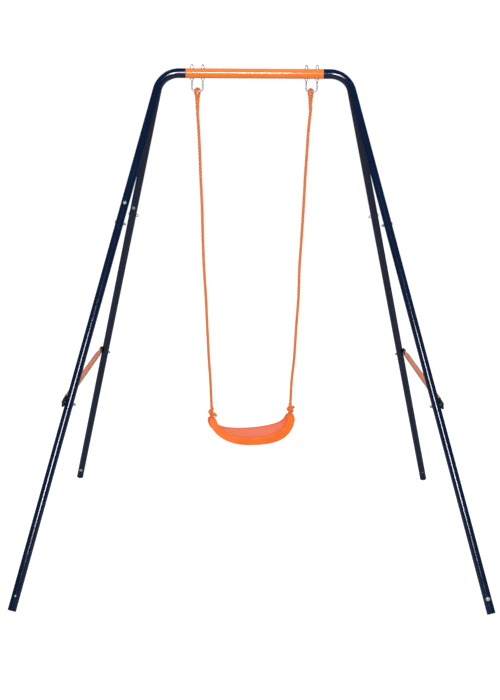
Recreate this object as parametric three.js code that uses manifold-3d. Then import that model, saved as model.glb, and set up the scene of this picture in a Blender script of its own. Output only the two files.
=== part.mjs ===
// Single-seat A-frame garden swing: a steel tube frame, two ropes and a moulded seat.
// Millimetres, +Z up, the ground at z = 0, the crossbar along X, the front towards -Y.
import * as THREE from 'three';
import { mergeVertices } from 'three/addons/utils/BufferGeometryUtils.js';
import Module from 'manifold-3d';

const wasm = await Module();
wasm.setup();

// ---------------------------------------------------------------- driving dimensions
const GAP = 0.3;                    // between touching pieces
const SIDES = 16;                   // facets round a tube
const SMALL_SIDES = 8;              // facets round a bolt, a hole or a rope
const BEND_STEPS = 6;
const BAR_Z = 1929;                 // crossbar axis above the ground
const BAR_RADIUS = 19;
const BAR_HALF = 274.5;             // half the length of the crossbar
const WALL = 1.5;                   // wall of every steel tube
const LEG_RADIUS = 15.5;
const APEX_X = 372;                 // where the leg axes meet the crossbar axis
const FOOT_X = 860;
const FOOT_Y = 817;
const FOOT_Z = 5.2;                 // centre of the foot's end face
const BEND_RADIUS = 90;             // of the corner tube, on its axis
const SPIGOT_LENGTH = 85;           // corner tube inside the crossbar
const UPPER_JOINT = 671;            // distances down a leg axis from the apex
const UPPER_BOLT = 644;
const LOWER_JOINT = 1393;
const BRACE_BOLT = 1371;
const SWAGE = 140;                  // reduced top of an upper leg, inside the corner tube
const LOWER_SWAGE = 70;             // reduced top of a lower leg, inside the upper leg
const NEAR_SCREW = 565;             // domed screws in the corner tubes, nearer the bend
const FAR_SCREW = 605;
const FOOT_BOLT = 2093;
const BOLT_RADIUS = 3;
const HOLE_RADIUS = 3.4;
const NUT_FLATS = 10;
const NUT_HEIGHT = 5;
const PLUG_RADIUS = 16;
const PLUG_FLANGE = 3;
const PLUG_SLEEVE = 24;
const BRACE_RADIUS = 11.5;          // round tube, flattened where it is bolted on
const FLAT_THICKNESS = 4;
const FLAT_HEIGHT = 34;
const FLAT_BEHIND = 40;             // flat part, from the bolt towards the middle
const FLAT_BLEND = 55;              // from flat to round
const CAP_LENGTH = 46;              // cap on the flat end, along the brace
const CAP_HEIGHT = 37;
const CAP_THICKNESS = 11;
const CAP_OVERHANG = 13;            // cap beyond the bolt, away from the brace
const UBOLT_X = 228;                // centre of each hanger
const UBOLT_SPACING = 43;
const UBOLT_ROD = 3;                // rod radius
const UBOLT_DROP = 69;              // crossbar axis down to the axis of the hanger's lower rod
const UBOLT_BEND = 11;
const HANGER_CAP_HEIGHT = 16;
const HANGER_NUT_HEIGHT = 6;
const ROPE_RADIUS = 5;
const EYE_SLIDE = { left: 0, right: -3.5 };  // eye along the hanger rod
const EYE_TURN = 40;                // degrees, the rope eye about the vertical
const EYE_GAP = 8.5;                // half the inner width of the eye
const EYE_STRAND = 4.5;             // radius of the rope where it forms the eye
const EYE_RISE = 11.8;              // hanger rod up to the middle of the eye's top strand
const EYE_THROAT = 34;              // hanger rod down to the throat of the eye
const SPLICE_END = 79;              // hanger rod down to the end of the splice
const SPLICE_RADIUS = 7.5;
const SEAT_YAW = 12;                // degrees, how the seat hangs turned
const SEAT_X = -4.4;                // centre of the seat
const SEAT_TOP_Z = 529.7;           // top of the raised ends
const SEAT_HALF_WIDTH = 153;        // to the inner face of the ends
const SEAT_DROP = 75.5;             // raised ends down to the middle of the pan
const SEAT_FULLNESS = 2.38;         // 2 is an ellipse, more is squarer
const SEAT_RIM = 30.5;              // depth of the rim round the pan
const SEAT_WALL = 3;
const SEAT_HALF_DEPTH = 104;
const SEAT_NARROWING = 3.26;        // how late the pan narrows towards its ends
const SEAT_TIP_HALF_DEPTH = 30;
const SEAT_FRONT_RISE = 3.4;        // front edge of the pan above its middle
const SEAT_FLANGE = 5;              // closed top of each raised end
const ROPE_HOLE = 7;                // radius of the hole in that top
const ROPE_AT_SEAT = 168;           // rope from the seat's centre, along the seat
const KNOT_RADIUS = 13.5;
const KNOT_RISE = 20;               // knot above the seat's pivot line
const STOPPER_RADIUS = 9.5;
const STOPPER_DROP = 14.5;

// ---------------------------------------------------------------- materials
function paint(color, roughness, metalness) {
  return new THREE.MeshStandardMaterial({ color, roughness, metalness });
}
const navyPaint = () => paint(0x0c1c38, 0.25, 0.3);
const orangePaint = () => paint(0xe8791f, 0.3, 0.2);
const seatPlastic = () => paint(0xf07030, 0.45, 0);
const blackPlastic = () => paint(0x151515, 0.6, 0);
const zincSteel = () => paint(0xc8ccd2, 0.3, 0.9);
const orangeRope = () => paint(0xe87428, 0.8, 0);

// ---------------------------------------------------------------- helpers
const vec = (x, y, z) => new THREE.Vector3(x, y, z);
const radians = THREE.MathUtils.degToRad;

function toSolid(geometry) {
  const bare = geometry.clone();
  bare.deleteAttribute('normal');
  bare.deleteAttribute('uv');
  const merged = mergeVertices(bare, 1e-4);
  return new wasm.Manifold(new wasm.Mesh({
    numProp: 3,
    vertProperties: new Float32Array(merged.attributes.position.array),
    triVerts: new Uint32Array(merged.index.array),
  }));
}

function toGeometry(solid) {
  const mesh = solid.getMesh();
  const geometry = new THREE.BufferGeometry();
  geometry.setAttribute('position', new THREE.BufferAttribute(new Float32Array(mesh.vertProperties), 3));
  geometry.setIndex(new THREE.BufferAttribute(new Uint32Array(mesh.triVerts), 1));
  geometry.computeVertexNormals();
  return geometry;
}

// Joins the geometries in add, then cuts away those in cut.
function carve(add, cut = []) {
  let solid = toSolid(add[0]);
  for (const piece of add.slice(1)) solid = solid.add(toSolid(piece));
  for (const piece of cut) solid = solid.subtract(toSolid(piece));
  return toGeometry(solid);
}

// A cylinder along Z from z = low to z = high.
function rod(radius, low, high, sides = SIDES, topRadius = radius) {
  const geometry = new THREE.CylinderGeometry(topRadius, radius, high - low, sides);
  geometry.rotateX(Math.PI / 2);
  geometry.translate(0, 0, (low + high) / 2);
  return geometry;
}

// The same cylinder along X or Y.
function crossRod(axis, radius, low, high, sides = SMALL_SIDES) {
  const geometry = rod(radius, low, high, sides);
  if (axis === 'x') geometry.rotateY(Math.PI / 2);
  if (axis === 'y') geometry.rotateX(-Math.PI / 2);
  return geometry;
}

function hexagon(low, high, flats = NUT_FLATS) {
  return rod(flats / Math.sqrt(3), low, high, 6);
}

// A solid of revolution about Z from [radius, z] pairs that start and end on the axis.
function turned(profile, sides = 10) {
  const geometry = new THREE.LatheGeometry(profile.map(([r, z]) => new THREE.Vector2(r, z)), sides);
  geometry.rotateX(Math.PI / 2);
  return geometry;
}

// Replaces each inner corner of a route by an arc.
function rounded(corners, radius, steps) {
  const points = [corners[0]];
  for (let i = 1; i < corners.length - 1; i += 1) {
    const back = corners[i - 1].clone().sub(corners[i]).normalize();
    const ahead = corners[i + 1].clone().sub(corners[i]).normalize();
    const half = back.angleTo(ahead) / 2;
    const middle = back.clone().add(ahead).normalize();
    const centre = corners[i].clone().addScaledVector(middle, radius / Math.sin(half));
    const start = corners[i].clone().addScaledVector(back, radius / Math.tan(half)).sub(centre);
    const normal = new THREE.Vector3().crossVectors(back, ahead).normalize();
    const sweep = -(Math.PI - 2 * half);
    for (let k = 0; k <= steps; k += 1) {
      points.push(start.clone().applyAxisAngle(normal, sweep * k / steps).add(centre));
    }
  }
  points.push(corners.at(-1));
  return points;
}

// A cylinder whose rings are moved onto a route; radiusAt gives the radius at each point.
function swept(points, radiusAt, sides = SIDES) {
  const geometry = new THREE.CylinderGeometry(1, 1, points.length - 1, sides, points.length - 1);
  const tangents = points.map((_, i) => {
    const from = points[Math.max(i - 1, 0)];
    const to = points[Math.min(i + 1, points.length - 1)];
    return to.clone().sub(from).normalize();
  });
  const frames = [];
  let across = vec(0, 1, 0);
  if (Math.abs(tangents[0].y) > 0.9) across = vec(1, 0, 0);
  tangents.forEach((tangent) => {
    across = across.clone().addScaledVector(tangent, -across.dot(tangent)).normalize();
    frames.push([across, new THREE.Vector3().crossVectors(tangent, across)]);
  });
  const position = geometry.attributes.position;
  for (let i = 0; i < position.count; i += 1) {
    const ring = Math.round(position.getY(i) + (points.length - 1) / 2);
    const [u, v] = frames[ring];
    const radius = radiusAt(ring);
    const place = points[ring].clone();
    place.addScaledVector(u, -position.getX(i) * radius);
    place.addScaledVector(v, position.getZ(i) * radius);
    position.setXYZ(i, place.x, place.y, place.z);
  }
  return geometry;
}

const swing = new THREE.Group();

function place(parent, name, geometry, material) {
  const mesh = new THREE.Mesh(geometry, material);
  mesh.name = name;
  parent.add(mesh);
  return mesh;
}

// ---------------------------------------------------------------- leg frames
// A leg's own frame has its origin at the apex, +Z up the leg and +X outwards, square to the side.
const SIDE_SIGN = { left: -1, right: 1 };
const END_SIGN = { front: -1, back: 1 };
const LEG_LENGTH = vec(FOOT_X - APEX_X, FOOT_Y, BAR_Z - FOOT_Z).length();

function footCentre(side, end) {
  return vec(SIDE_SIGN[side] * FOOT_X, END_SIGN[end] * FOOT_Y, FOOT_Z);
}
function apex(side) {
  return vec(SIDE_SIGN[side] * APEX_X, 0, BAR_Z);
}
function outward(side) {
  const run = FOOT_X - APEX_X;
  return vec(SIDE_SIGN[side] * (BAR_Z - FOOT_Z), 0, run).normalize();
}
function legFrame(side, end) {
  const up = apex(side).sub(footCentre(side, end)).normalize();
  const x = outward(side);
  const y = new THREE.Vector3().crossVectors(up, x);
  return new THREE.Matrix4().makeBasis(x, y, up).setPosition(apex(side));
}
// The sign of the leg frame's Y along world Y.
function frameYSign(side) {
  return SIDE_SIGN[side];
}

const legs = {};
for (const side of Object.keys(SIDE_SIGN)) {
  for (const end of Object.keys(END_SIGN)) {
    const group = new THREE.Group();
    group.applyMatrix4(legFrame(side, end));
    swing.add(group);
    legs[`${side}_${end}`] = group;
  }
}

// ---------------------------------------------------------------- crossbar
function hangerRods(radius, low, high) {
  const cuts = [];
  for (const side of [-1, 1]) {
    for (const leg of [-1, 1]) {
      const x = side * UBOLT_X + leg * UBOLT_SPACING / 2;
      cuts.push(rod(radius, low, high, SMALL_SIDES).translate(x, 0, 0));
    }
  }
  return cuts;
}

function crossbar() {
  const bore = crossRod('x', BAR_RADIUS - WALL, -BAR_HALF - 1, BAR_HALF + 1, SIDES);
  const tube = crossRod('x', BAR_RADIUS, -BAR_HALF, BAR_HALF, SIDES);
  return carve([tube], [bore, ...hangerRods(HOLE_RADIUS, -30, 30)]);
}
place(swing, 'crossbar', crossbar(), orangePaint()).position.z = BAR_Z;

// ---------------------------------------------------------------- corner tubes
// One bent tube runs into each leg of a side; the two are welded into a Y at the bend.
function cornerRoute(side, end, inset, overrun) {
  const sign = SIDE_SIGN[side];
  const seam = BAR_HALF + GAP;
  const down = footCentre(side, end).sub(apex(side)).normalize();
  const start = BAR_HALF - SPIGOT_LENGTH - inset;
  const bend = rounded([
    vec(sign * seam, 0, BAR_Z), apex(side),
    apex(side).addScaledVector(down, UPPER_JOINT - GAP + overrun),
  ], BEND_RADIUS, BEND_STEPS);
  return [vec(sign * start, 0, BAR_Z), vec(sign * (seam - 0.01), 0, BAR_Z), ...bend];
}

function cornerRadius(ring, thinner) {
  const firstBend = 2;
  const lastBend = firstBend + BEND_STEPS;
  if (ring < 2) return BAR_RADIUS - WALL - GAP - thinner;
  const along = THREE.MathUtils.clamp((ring - firstBend) / (lastBend - firstBend), 0, 1);
  return THREE.MathUtils.lerp(BAR_RADIUS, LEG_RADIUS, along) - thinner;
}

function cornerTube(side) {
  const outer = [];
  const inner = [];
  const holes = hangerRods(HOLE_RADIUS, BAR_Z - 30, BAR_Z + 30);
  for (const end of Object.keys(END_SIGN)) {
    outer.push(swept(cornerRoute(side, end, 0, 0), (ring) => cornerRadius(ring, 0)));
    inner.push(swept(cornerRoute(side, end, 1, 1), (ring) => cornerRadius(ring, WALL)));
    const frame = legFrame(side, end);
    const facing = frameYSign(side) * screwFacing(side);
    holes.push(crossRod('x', HOLE_RADIUS, -20, 20).translate(0, 0, -UPPER_BOLT).applyMatrix4(frame));
    const [low, high] = facing > 0 ? [0, 20] : [-20, 0];
    holes.push(crossRod('y', HOLE_RADIUS, low, high).translate(0, 0, -screwDistance(side, end))
      .applyMatrix4(frame));
  }
  return carve(outer, [...inner, ...holes]);
}

// The right corner is the left one turned half a turn: its screws face the back, and the
// one nearer the bend is in its back leg.
function screwFacing(side) {
  return side === 'left' ? -1 : 1;
}
function screwDistance(side, end) {
  return END_SIGN[end] === screwFacing(side) ? NEAR_SCREW : FAR_SCREW;
}

for (const side of Object.keys(SIDE_SIGN)) {
  place(swing, `${side}_corner_tube`, cornerTube(side), navyPaint());
}

// ---------------------------------------------------------------- leg tubes
const SWAGE_RADIUS = LEG_RADIUS - WALL - GAP;

// A tube from distance top to distance bottom down the leg, with a reduced length above it.
function legTube(top, bottom, swage, holes) {
  const outer = [rod(LEG_RADIUS, -bottom, -top), rod(SWAGE_RADIUS, -top - 1, -top + swage)];
  const reduced = rod(SWAGE_RADIUS - WALL, -bottom - 1, -top + swage + 1);
  const bore = rod(LEG_RADIUS - WALL, -bottom - 1, -top - 4);
  return carve(outer, [reduced, bore, ...holes]);
}

function upperLeg(side, end) {
  const facing = frameYSign(side) * screwFacing(side);
  const [low, high] = facing > 0 ? [0, 20] : [-20, 0];
  return legTube(UPPER_JOINT, LOWER_JOINT - GAP, SWAGE, [
    crossRod('x', HOLE_RADIUS, -20, 20).translate(0, 0, -UPPER_BOLT),
    crossRod('x', HOLE_RADIUS, -20, 20).translate(0, 0, -BRACE_BOLT),
    crossRod('y', HOLE_RADIUS, low, high).translate(0, 0, -screwDistance(side, end)),
  ]);
}

function lowerLeg() {
  const end = LEG_LENGTH - PLUG_FLANGE - GAP;
  return legTube(LOWER_JOINT, end, LOWER_SWAGE, [
    crossRod('x', HOLE_RADIUS, -20, 20).translate(0, 0, -BRACE_BOLT),
    crossRod('y', HOLE_RADIUS, -20, 20).translate(0, 0, -FOOT_BOLT),
  ]);
}

// ---------------------------------------------------------------- feet
// A plug with a flange that the ground trims flat.
function footPlug(side, end) {
  const sleeve = LEG_RADIUS - WALL - GAP;
  const plug = turned([
    [0, 0], [PLUG_RADIUS, 0], [PLUG_RADIUS, PLUG_FLANGE], [sleeve, PLUG_FLANGE],
    [sleeve, PLUG_SLEEVE], [sleeve - 2, PLUG_SLEEVE], [sleeve - 2, PLUG_FLANGE + 2],
    [0, PLUG_FLANGE + 2],
  ], SIDES);
  plug.translate(0, 0, -LEG_LENGTH);
  const ground = new THREE.BoxGeometry(80, 80, 40);
  ground.translate(SIDE_SIGN[side] * FOOT_X, END_SIGN[end] * FOOT_Y, -20);
  ground.applyMatrix4(legFrame(side, end).invert());
  return carve([plug], [ground]);
}

// ---------------------------------------------------------------- bolts, screws and nuts
// A domed head at +Z, its seat at z = 0, with a plain shank below it.
function domedBolt(headRadius, headHeight, shank) {
  return turned([
    [0, -shank], [BOLT_RADIUS, -shank], [BOLT_RADIUS, 0], [headRadius, 0],
    [headRadius * 0.95, headHeight * 0.4], [headRadius * 0.65, headHeight * 0.85], [0, headHeight],
  ]);
}

function pointAlong(geometry, axis, sign) {
  if (axis === 'x') geometry.rotateY(sign * Math.PI / 2);
  if (axis === 'y') geometry.rotateX(-sign * Math.PI / 2);
  return geometry;
}

function nut(height = NUT_HEIGHT) {
  return carve([hexagon(0, height)], [rod(BOLT_RADIUS + GAP, -1, height + 1, SMALL_SIDES)]);
}

const SURFACE = LEG_RADIUS + GAP;

for (const [key, group] of Object.entries(legs)) {
  const [side, end] = key.split('_');
  const named = `${end}_${side}`;
  place(group, `${named}_upper_leg`, upperLeg(side, end), navyPaint());
  place(group, `${named}_lower_leg`, lowerLeg(), navyPaint());
  place(group, `${named}_foot_plug`, footPlug(side, end), blackPlastic());

  const sideBolt = pointAlong(domedBolt(6, 3, 2 * SURFACE + 11), 'x', 1);
  place(group, `${named}_joint_bolt`, sideBolt, zincSteel()).position.set(SURFACE, 0, -UPPER_BOLT);
  const sideNut = pointAlong(nut(), 'x', -1);
  place(group, `${named}_joint_nut`, sideNut, zincSteel()).position.set(-SURFACE, 0, -UPPER_BOLT);

  const facing = frameYSign(side) * screwFacing(side);
  const screw = pointAlong(domedBolt(7, 4, 8), 'y', facing);
  place(group, `${named}_corner_screw`, screw, zincSteel())
    .position.set(0, facing * SURFACE, -screwDistance(side, end));

  const footFacing = END_SIGN[end];
  const footBolt = pointAlong(domedBolt(8, 4, 2 * SURFACE + 3), 'y', footFacing);
  place(group, `${named}_foot_bolt`, footBolt, zincSteel())
    .position.set(0, footFacing * SURFACE, -FOOT_BOLT);

  const braceReach = SURFACE + CAP_THICKNESS + GAP;
  const braceBolt = pointAlong(domedBolt(6.5, 3.5, braceReach + SURFACE + 9), 'x', 1);
  place(group, `${named}_brace_bolt`, braceBolt, zincSteel())
    .position.set(braceReach, 0, -BRACE_BOLT);
  const braceNut = pointAlong(nut(), 'x', -1);
  place(group, `${named}_brace_nut`, braceNut, zincSteel())
    .position.set(-SURFACE, 0, -BRACE_BOLT);
}

// ---------------------------------------------------------------- side braces
// A brace frame has its origin midway between the brace's two bolts, in the middle of its
// thickness: X outwards, Y along the brace, Z up the side.
function boltPoint(side, end) {
  const down = footCentre(side, end).sub(apex(side)).normalize();
  return apex(side).addScaledVector(down, BRACE_BOLT);
}
const BRACE_SPAN = boltPoint('right', 'back').y * 2;
const BRACE_OFFSET = SURFACE + CAP_THICKNESS / 2;

function braceFrame(side) {
  const x = outward(side);
  const y = vec(0, SIDE_SIGN[side], 0);
  const z = new THREE.Vector3().crossVectors(x, y);
  const middle = boltPoint(side, 'front').setY(0).addScaledVector(x, BRACE_OFFSET);
  return new THREE.Matrix4().makeBasis(x, y, z).setPosition(middle);
}

// Half the thickness and half the height of the brace at a distance from its middle.
function braceHalves(distance, thinner) {
  const inward = BRACE_SPAN / 2 - FLAT_BEHIND - Math.abs(distance);
  const roundness = THREE.MathUtils.smoothstep(inward, 0, FLAT_BLEND);
  return [
    THREE.MathUtils.lerp(FLAT_THICKNESS / 2, BRACE_RADIUS, roundness) - thinner,
    THREE.MathUtils.lerp(FLAT_HEIGHT / 2, BRACE_RADIUS, roundness) - thinner,
  ];
}

function braceTube(half, thinner) {
  const flatFrom = BRACE_SPAN / 2 - FLAT_BEHIND;
  const inner = [0, 1, 2, 3].map((step) => flatFrom - FLAT_BLEND * step / 3);
  const stations = [-half, ...inner.map((y) => -y), ...inner.reverse(), half];
  const spans = stations.length - 1;
  const geometry = new THREE.CylinderGeometry(1, 1, spans, SIDES, spans);
  const position = geometry.attributes.position;
  for (let i = 0; i < position.count; i += 1) {
    const y = stations[Math.round(position.getY(i) + spans / 2)];
    const [thick, high] = braceHalves(y, thinner);
    position.setXYZ(i, position.getX(i) * thick, y, position.getZ(i) * high);
  }
  return geometry;
}

function brace() {
  const half = BRACE_SPAN / 2 + CAP_OVERHANG - 5;
  const holes = [-1, 1].map((sign) => (
    crossRod('x', HOLE_RADIUS, -20, 20).translate(0, sign * BRACE_SPAN / 2, 0)));
  return carve([braceTube(half, 0)], [braceTube(half + 1, WALL), ...holes]);
}

// The cap closes over the end of the strut and is open towards its middle.
function braceCap(sign) {
  const block = new THREE.BoxGeometry(CAP_THICKNESS, CAP_LENGTH, CAP_HEIGHT);
  const far = BRACE_SPAN / 2 + CAP_OVERHANG;
  block.translate(0, sign * (far - CAP_LENGTH / 2), 0);
  const pocket = new THREE.BoxGeometry(
    FLAT_THICKNESS + 2 * GAP, CAP_LENGTH, FLAT_HEIGHT + 2 * GAP);
  pocket.translate(0, sign * (far - CAP_LENGTH / 2 - 4), 0);
  const hole = crossRod('x', HOLE_RADIUS, -20, 20).translate(0, sign * BRACE_SPAN / 2, 0);
  return carve([block], [pocket, hole]);
}

for (const side of Object.keys(SIDE_SIGN)) {
  const group = new THREE.Group();
  group.applyMatrix4(braceFrame(side));
  swing.add(group);
  place(group, `${side}_brace`, brace(), orangePaint());
  for (const end of Object.keys(END_SIGN)) {
    const sign = END_SIGN[end] * SIDE_SIGN[side];
    place(group, `${end}_${side}_brace_cap`, braceCap(sign), blackPlastic());
  }
}

// ---------------------------------------------------------------- rope hangers
function hanger() {
  const half = UBOLT_SPACING / 2;
  const top = BAR_RADIUS + HANGER_CAP_HEIGHT - 6;
  const route = rounded(
    [vec(-half, 0, top), vec(-half, 0, -UBOLT_DROP), vec(half, 0, -UBOLT_DROP), vec(half, 0, top)],
    UBOLT_BEND, 4);
  return swept(route, () => UBOLT_ROD, SMALL_SIDES);
}

// A domed nut with a blind hole, on the crossbar's top.
function domedNut() {
  const bore = rod(UBOLT_ROD + GAP, -1, HANGER_CAP_HEIGHT - 5, SMALL_SIDES);
  const dome = turned([[0, 0], [6.5, 0], [6.5, 7], [6, 10], [4, 14], [0, HANGER_CAP_HEIGHT]]);
  return carve([dome], [bore]);
}

function flangeNut() {
  const body = hexagon(-HANGER_NUT_HEIGHT, 0, 11);
  const flange = rod(7.5, -2, 0, 12);
  return carve([body, flange], [rod(UBOLT_ROD + GAP, -10, 1, SMALL_SIDES)]);
}

for (const side of Object.keys(SIDE_SIGN)) {
  const x = SIDE_SIGN[side] * UBOLT_X;
  place(swing, `${side}_hanger`, hanger(), zincSteel()).position.set(x, 0, BAR_Z);
  for (const leg of ['outer', 'inner']) {
    const away = leg === 'outer' ? 1 : -1;
    const nutX = x + SIDE_SIGN[side] * away * UBOLT_SPACING / 2;
    place(swing, `${side}_${leg}_domed_nut`, domedNut(), zincSteel())
      .position.set(nutX, 0, BAR_Z + BAR_RADIUS + GAP);
    place(swing, `${side}_${leg}_hanger_nut`, flangeNut(), zincSteel())
      .position.set(nutX, 0, BAR_Z - BAR_RADIUS - GAP);
  }
}

// ---------------------------------------------------------------- rope eyes
// The rope turns back on itself round the hanger rod and is spliced below it.
const HANGER_Z = BAR_Z - UBOLT_DROP;

function eyeX(side) {
  return SIDE_SIGN[side] * UBOLT_X + EYE_SLIDE[side];
}

function ropeEye() {
  const middle = EYE_GAP + EYE_STRAND;
  const loop = new THREE.CatmullRomCurve3([
    vec(0, 2.5, -EYE_THROAT - 6), vec(0, 5, -EYE_THROAT + 4), vec(0, middle - 2, -13),
    vec(0, middle, -1), vec(0, 8.8, 8.2), vec(0, 0, EYE_RISE), vec(0, -8.8, 8.2),
    vec(0, -middle, -1), vec(0, -middle + 2, -13), vec(0, -5, -EYE_THROAT + 4),
    vec(0, -2.5, -EYE_THROAT - 6),
  ]);
  const section = new THREE.Shape().absarc(0, 0, EYE_STRAND, 0, 2 * Math.PI);
  const strand = new THREE.ExtrudeGeometry(section, {
    curveSegments: 4, steps: 22, extrudePath: loop, bevelEnabled: false,
  });
  const splice = turned([
    [0, -SPLICE_END], [ROPE_RADIUS, -SPLICE_END], [SPLICE_RADIUS, -SPLICE_END + 8],
    [SPLICE_RADIUS, -EYE_THROAT - 2], [ROPE_RADIUS, -EYE_THROAT + 3], [0, -EYE_THROAT + 3],
  ]);
  return carve([strand, splice]).rotateZ(-radians(EYE_TURN));
}

for (const side of Object.keys(SIDE_SIGN)) {
  place(swing, `${side}_rope_eye`, ropeEye(), orangeRope())
    .position.set(eyeX(side), 0, HANGER_Z);
}

// ---------------------------------------------------------------- ropes
// Each rope hangs from its splice to a knot on the seat, passes through the seat's raised
// end and stops on a second knot under it.
const PIVOT_Z = SEAT_TOP_Z - SEAT_FLANGE / 2;

function ropeFoot(side) {
  const turn = radians(SEAT_YAW);
  const reach = SIDE_SIGN[side] * ROPE_AT_SEAT;
  return vec(SEAT_X + reach * Math.cos(turn), reach * Math.sin(turn), PIVOT_Z);
}

// Sideways wander of the rope from the straight line, by the share of the way down.
const WANDER = {
  left: [[0, 0], [0.06, 1.3], [0.12, 1.5], [0.2, 0.4], [0.3, 0.2], [0.4, -2.5], [0.5, -3.8],
    [0.6, -1.8], [0.7, -2], [0.8, -1.5], [0.88, 0.5], [1, 0]],
  right: [[0, 0], [0.06, -3], [0.12, -3], [0.2, -3.2], [0.3, -1.9], [0.4, -1.6], [0.5, -1.9],
    [0.6, 2.3], [0.7, 1.2], [0.8, 1.5], [0.88, -2.5], [0.95, -2], [1, 0]],
};

function ropeRoute(side) {
  const top = vec(eyeX(side), 0, HANGER_Z - SPLICE_END - 2 * GAP);
  const foot = ropeFoot(side);
  const route = WANDER[side].map(([share, sideways]) => {
    const point = top.clone().lerp(foot, share);
    point.x += sideways;
    return point;
  });
  route.push(foot.clone().add(vec(0, 0, -STOPPER_DROP)));
  return route;
}

function rope(side) {
  const section = new THREE.Shape().absarc(0, 0, ROPE_RADIUS, 0, 2 * Math.PI);
  const tube = new THREE.ExtrudeGeometry(section, {
    curveSegments: 4,
    steps: 44,
    extrudePath: new THREE.CatmullRomCurve3(ropeRoute(side)),
    bevelEnabled: false,
  });
  const foot = ropeFoot(side);
  const knot = new THREE.SphereGeometry(KNOT_RADIUS, 10, 7);
  knot.translate(foot.x, foot.y, foot.z + KNOT_RISE);
  const stopper = new THREE.SphereGeometry(STOPPER_RADIUS, 10, 7);
  stopper.translate(foot.x, foot.y, foot.z - STOPPER_DROP);
  return carve([tube, knot, stopper]);
}

for (const side of Object.keys(SIDE_SIGN)) {
  place(swing, `${side}_rope`, rope(side), orangeRope());
}

// ---------------------------------------------------------------- seat
// The pan follows half a squared ellipse; its rim hangs outwards all the way round.
function fullness(angle) {
  const sine = Math.abs(Math.sin(angle)) ** SEAT_FULLNESS;
  const cosine = Math.abs(Math.cos(angle)) ** SEAT_FULLNESS;
  return (sine + cosine) ** (-1 / SEAT_FULLNESS);
}

function seatHalfDepth(angle) {
  const narrowing = Math.abs(Math.sin(angle) * fullness(angle)) ** SEAT_NARROWING;
  return SEAT_TIP_HALF_DEPTH + (SEAT_HALF_DEPTH - SEAT_TIP_HALF_DEPTH) * (1 - narrowing);
}

// A point of the seat: angle along the pan, across from -1 to 1, depth out from its upper face.
function seatPoint(angle, across, depth, inset) {
  const halfDepth = seatHalfDepth(angle) - inset;
  const x = (SEAT_HALF_WIDTH + depth) * Math.sin(angle) * fullness(angle);
  const fall = Math.cos(angle) * fullness(angle);
  const z = -(SEAT_DROP + depth + SEAT_FRONT_RISE * across) * fall;
  return vec(x, across * halfDepth, z);
}

// A box bent along the pan, from depth top to depth bottom.
function seatBlock(reach, inset, top, bottom) {
  const along = 28;
  const geometry = new THREE.BoxGeometry(2, 2, 1, along, 2, 1);
  const position = geometry.attributes.position;
  for (let i = 0; i < position.count; i += 1) {
    const depth = position.getZ(i) > 0 ? top : bottom;
    const point = seatPoint(position.getX(i) * reach, position.getY(i), depth, inset);
    position.setXYZ(i, point.x, point.y, point.z);
  }
  return geometry;
}

function seat() {
  const shell = seatBlock(Math.PI / 2, 0, 0, SEAT_RIM);
  const innerReach = Math.PI / 2 - SEAT_FLANGE / SEAT_DROP;
  const hollow = seatBlock(innerReach, SEAT_WALL, SEAT_WALL, SEAT_RIM + 12);
  const holes = [-1, 1].map((sign) => (
    rod(ROPE_HOLE, -SEAT_FLANGE - 12, 5, 12).translate(sign * ROPE_AT_SEAT, 0, 0)));
  return carve([shell], [hollow, ...holes]);
}

const seatMesh = place(swing, 'seat', seat(), seatPlastic());
seatMesh.position.set(SEAT_X, 0, SEAT_TOP_Z);
seatMesh.rotation.z = radians(SEAT_YAW);

export default swing;
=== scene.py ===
"""A single-seat A-frame garden swing: the finished look of every piece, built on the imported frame.

Lengths are metres in the part's own frame: +Z up, the front towards -Y, the ground at z = 0.
"""
from math import acos, atan2, copysign, cos, hypot, pi, radians, sin, sqrt, tan, tau

import bmesh
import bpy
from mathutils import Matrix, Vector
from mathutils.kdtree import KDTree


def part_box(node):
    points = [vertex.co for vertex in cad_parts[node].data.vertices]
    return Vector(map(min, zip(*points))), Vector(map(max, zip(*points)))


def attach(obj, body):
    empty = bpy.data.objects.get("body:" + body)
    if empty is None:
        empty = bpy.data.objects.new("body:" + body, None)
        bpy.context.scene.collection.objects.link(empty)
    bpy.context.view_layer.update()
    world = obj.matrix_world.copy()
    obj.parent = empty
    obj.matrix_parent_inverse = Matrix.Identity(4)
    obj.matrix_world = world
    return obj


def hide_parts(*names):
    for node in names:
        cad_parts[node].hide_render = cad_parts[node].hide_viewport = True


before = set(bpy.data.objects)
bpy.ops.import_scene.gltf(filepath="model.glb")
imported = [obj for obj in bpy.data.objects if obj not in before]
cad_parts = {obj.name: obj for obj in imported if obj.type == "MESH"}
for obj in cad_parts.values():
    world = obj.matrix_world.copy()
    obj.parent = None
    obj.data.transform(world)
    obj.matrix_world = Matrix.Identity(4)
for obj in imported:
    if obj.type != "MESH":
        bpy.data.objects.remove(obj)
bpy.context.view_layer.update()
scene = bpy.context.scene

# ---- driving dimensions
MM = 0.001
SIDES = {"left": -1, "right": 1}
ENDS = {"front": -1, "back": 1}
bar_low, bar_high = (Vector(corner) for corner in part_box("crossbar"))
BAR_Z = (bar_low.z + bar_high.z) / 2
BAR_RADIUS = (bar_high.z - bar_low.z) / 2
BAR_HALF = (bar_high.x - bar_low.x) / 2
GAP = 0.3 * MM
WALL = 1.5 * MM
LEG_RADIUS = 15.5 * MM
APEX_X = 372 * MM  # where the leg axes meet the crossbar axis
FOOT_X = 860 * MM
FOOT_Y = 817 * MM
FOOT_Z = 5.2 * MM
BEND_RADIUS = 90 * MM
SPIGOT_LENGTH = 85 * MM
UPPER_BOLT = 644 * MM  # distances down a leg axis from the apex
UPPER_JOINT = 671 * MM
BRACE_BOLT = 1371 * MM
LOWER_JOINT = 1393 * MM
FOOT_BOLT = 2093 * MM
NEAR_SCREW = 565 * MM
FAR_SCREW = 605 * MM
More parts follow.
